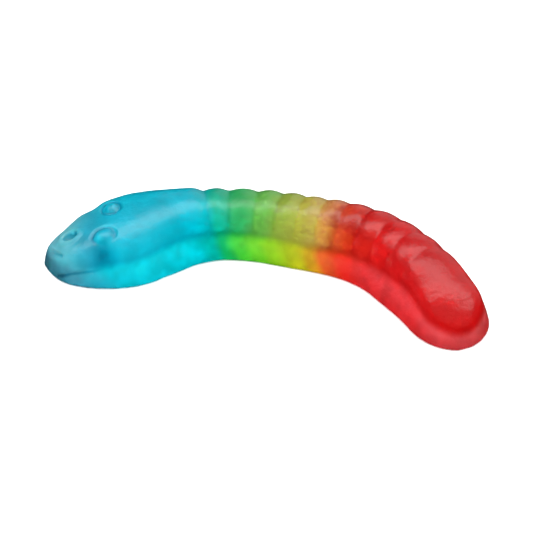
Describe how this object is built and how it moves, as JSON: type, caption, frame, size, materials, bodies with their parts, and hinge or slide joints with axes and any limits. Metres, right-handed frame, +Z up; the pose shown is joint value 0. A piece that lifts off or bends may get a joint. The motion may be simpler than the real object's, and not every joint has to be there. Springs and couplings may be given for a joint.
{
  "type": "gummy snake candy",
  "caption": "Gummy snake candy with a broad head, low domed eyes, a ribbed back and a smooth tail, blue through green and yellow to red, lying in a lazy arc on its flat base.",
  "frame": {"origin": "centre of the bounding box, on the flat base that lies on the table", "axes": "+X along the longest extent, from the head to the tail; +Y towards the far side of the arc; +Z up, out of the flat base"},
  "size_m": [0.064, 0.0312, 0.0094],
  "materials": {
    "gelatine": "translucent gelatine with a soft oily sheen, blue head, green and yellow middle, red tail"
  },
  "bodies": {
    "root": {"gummy_snake": "gelatine"}
  },
  "joints": []
}
